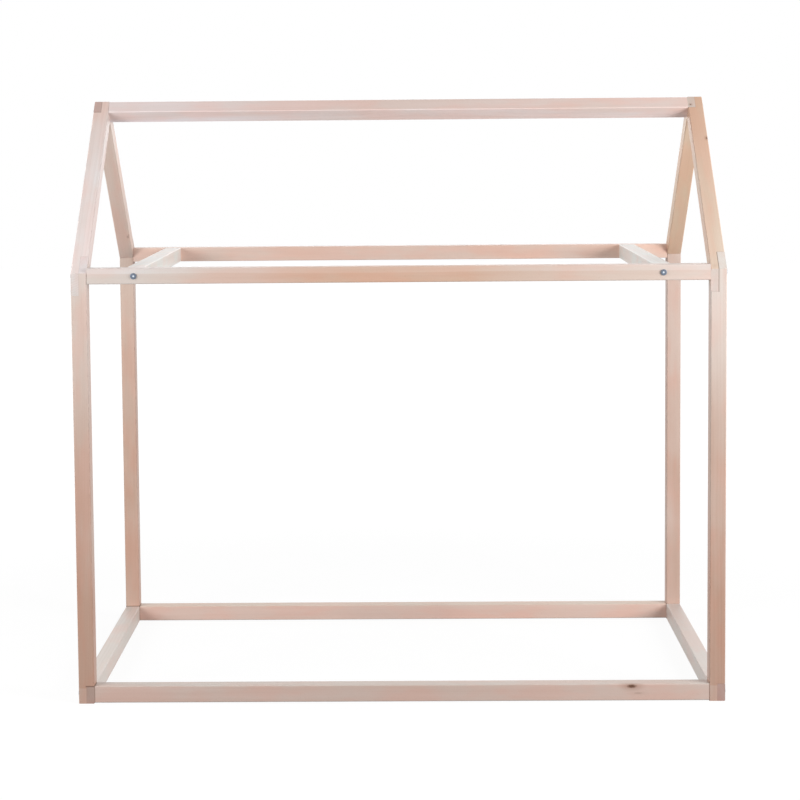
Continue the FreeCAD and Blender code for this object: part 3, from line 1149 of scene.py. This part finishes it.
def make_lamp(name, place, aim, size, power):
    """A soft rectangular lamp that looks at a point."""
    lamp = bpy.data.lights.new(name, "AREA")
    lamp.shape = "RECTANGLE"
    lamp.size, lamp.size_y = size
    lamp.energy = power
    holder = bpy.data.objects.new(name, lamp)
    bpy.context.collection.objects.link(holder)
    holder.location = place
    holder.rotation_mode = "QUATERNION"
    holder.rotation_quaternion = (Vector(aim) - Vector(place)).to_track_quat("-Z", "Y")
    holder.visible_camera = False


# Where the photograph was taken from: almost level, a long way off, with a raised optical axis.
CAMERA_PLACE = (0.02873, -4.75553, 1.31237)
CAMERA_PITCH, CAMERA_YAW, CAMERA_ROLL = -0.0733, 0.0134, -0.0084     # radians
CAMERA_SHIFT = (0.01904, -0.1625)                                    # shares of the picture's width


def make_camera(stage):
    """The camera of the photograph."""
    lens = bpy.data.cameras.new("camera")
    camera = bpy.data.objects.new("camera", lens)
    bpy.context.collection.objects.link(camera)
    lens.sensor_width = 36.0
    lens.lens = stage.focal_length
    lens.shift_x, lens.shift_y = CAMERA_SHIFT
    lens.clip_start, lens.clip_end = 0.1, 100.0
    turn = Matrix.Rotation(CAMERA_YAW, 3, "Z") @ Matrix.Rotation(CAMERA_PITCH, 3, "X")
    right = turn @ Vector((math.cos(CAMERA_ROLL), 0, math.sin(CAMERA_ROLL)))
    up = turn @ Vector((-math.sin(CAMERA_ROLL), 0, math.cos(CAMERA_ROLL)))
    back = turn @ Vector((0, -1, 0))
    axes = Matrix((right, up, back)).transposed().to_4x4()
    camera.matrix_world = Matrix.Translation(CAMERA_PLACE) @ axes
    bpy.context.scene.camera = camera


# ---- operators and panel

class TimberFinish:
    """What the operators that finish timbers share"""
    bl_options = {"REGISTER", "UNDO"}
    kind = ""

    def execute(self, context):
        finish_timbers(self.kind)
        return {"FINISHED"}


class HOUSEBED_OT_posts(TimberFinish, bpy.types.Operator):
    """Gives the four posts their wood"""
    bl_idname = "house_bed.posts"
    bl_label = "Posts"
    kind = "post"


class HOUSEBED_OT_rafters(TimberFinish, bpy.types.Operator):
    """Gives the four rafters their wood"""
    bl_idname = "house_bed.rafters"
    bl_label = "Rafters"
    kind = "rafter"


class HOUSEBED_OT_side_rails(TimberFinish, bpy.types.Operator):
    """Gives the two side rails their wood"""
    bl_idname = "house_bed.side_rails"
    bl_label = "Side rails"
    kind = "side_rail"


class HOUSEBED_OT_bottom_rails(TimberFinish, bpy.types.Operator):
    """Gives the two long bottom rails their wood"""
    bl_idname = "house_bed.bottom_rails"
    bl_label = "Bottom rails"
    kind = "bottom_rail"


class HOUSEBED_OT_eave_rails(TimberFinish, bpy.types.Operator):
    """Gives the two eave rails their wood"""
    bl_idname = "house_bed.eave_rails"
    bl_label = "Eave rails"
    kind = "eave_rail"


class HOUSEBED_OT_ridge(TimberFinish, bpy.types.Operator):
    """Gives the ridge beam its wood"""
    bl_idname = "house_bed.ridge"
    bl_label = "Ridge beam"
    kind = "ridge"


class HOUSEBED_OT_ties(TimberFinish, bpy.types.Operator):
    """Gives the two cross ties their wood"""
    bl_idname = "house_bed.ties"
    bl_label = "Cross ties"
    kind = "tie"


class HOUSEBED_OT_screws(bpy.types.Operator):
    """Models a connecting screw and sets one at every joint"""
    bl_idname = "house_bed.screws"
    bl_label = "Screws"
    bl_options = {"REGISTER", "UNDO"}

    def execute(self, context):
        screw = settings().screw
        template = make_screw(screw, max(SCREW_HIGH - SCREW_LOW))
        for node in ("ridge_screws", "eave_screws", "foot_screws", "tie_screws"):
            set_in_place(template, node, node.replace("screws", "connecting_screws"))
        bpy.data.objects.remove(template)
        return {"FINISHED"}


class HOUSEBED_OT_dowels(bpy.types.Operator):
    """Models a fluted dowel and sets one at every ridge and foot joint"""
    bl_idname = "house_bed.dowels"
    bl_label = "Dowels"
    bl_options = {"REGISTER", "UNDO"}

    def execute(self, context):
        bed = settings()
        template = make_dowel(bed.dowel, max(DOWEL_HIGH - DOWEL_LOW))
        paint(template, dowel_material(bed.wood))
        for node in ("ridge_dowels", "foot_dowels"):
            set_in_place(template, node, node.replace("dowels", "fluted_dowels"))
        bpy.data.objects.remove(template)
        return {"FINISHED"}


class HOUSEBED_OT_stage(bpy.types.Operator):
    """Sets the floor, the lamps, the room and the camera"""
    bl_idname = "house_bed.stage"
    bl_label = "Stage"
    bl_options = {"REGISTER", "UNDO"}

    def execute(self, context):
        stage = settings().stage
        context.scene.view_settings.view_transform = "Standard"
        make_room(stage)
        make_floor(stage)
        for name, place, aim, size, setting in LAMPS:
            make_lamp(name, place, aim, size, getattr(stage, setting))
        make_camera(stage)
        return {"FINISHED"}


OPERATORS = (
    HOUSEBED_OT_posts,
    HOUSEBED_OT_rafters,
    HOUSEBED_OT_side_rails,
    HOUSEBED_OT_bottom_rails,
    HOUSEBED_OT_eave_rails,
    HOUSEBED_OT_ridge,
    HOUSEBED_OT_ties,
    HOUSEBED_OT_screws,
    HOUSEBED_OT_dowels,
    HOUSEBED_OT_stage,
)


class HOUSEBED_PT_panel(bpy.types.Panel):
    """The bed's pieces and its stage"""
    bl_idname = "HOUSEBED_PT_panel"
    bl_label = "House Frame Bed"
    bl_space_type = "VIEW_3D"
    bl_region_type = "UI"
    bl_category = "House Bed"

    def draw(self, context):
        column = self.layout.column(align=True)
        for operator in OPERATORS:
            column.operator(operator.bl_idname)
        for part in ("wood", "screw", "dowel", "stage"):
            box = self.layout.box()
            group = getattr(context.scene.house_bed, part)
            for name in group.__annotations__:
                box.prop(group, name)


CLASSES = (HouseBedWood, HouseBedScrew, HouseBedDowel, HouseBedStage, HouseBedSettings,
           *OPERATORS, HOUSEBED_PT_panel)


def register():
    for kind in CLASSES:
        bpy.utils.register_class(kind)
    bpy.types.Scene.house_bed = PointerProperty(type=HouseBedSettings)


def unregister():
    del bpy.types.Scene.house_bed
    for kind in reversed(CLASSES):
        bpy.utils.unregister_class(kind)


def main():
    """Builds the whole scene and writes how large the packed and the dressed bed are."""
    register()
    bpy.ops.object.select_all(action="DESELECT")
    bpy.ops.house_bed.posts()
    bpy.ops.house_bed.rafters()
    bpy.ops.house_bed.side_rails()
    bpy.ops.house_bed.bottom_rails()
    bpy.ops.house_bed.eave_rails()
    bpy.ops.house_bed.ridge()
    bpy.ops.house_bed.ties()
    bpy.ops.house_bed.screws()
    bpy.ops.house_bed.dowels()
    bpy.ops.house_bed.stage()


if __name__ == "__main__":
    main()
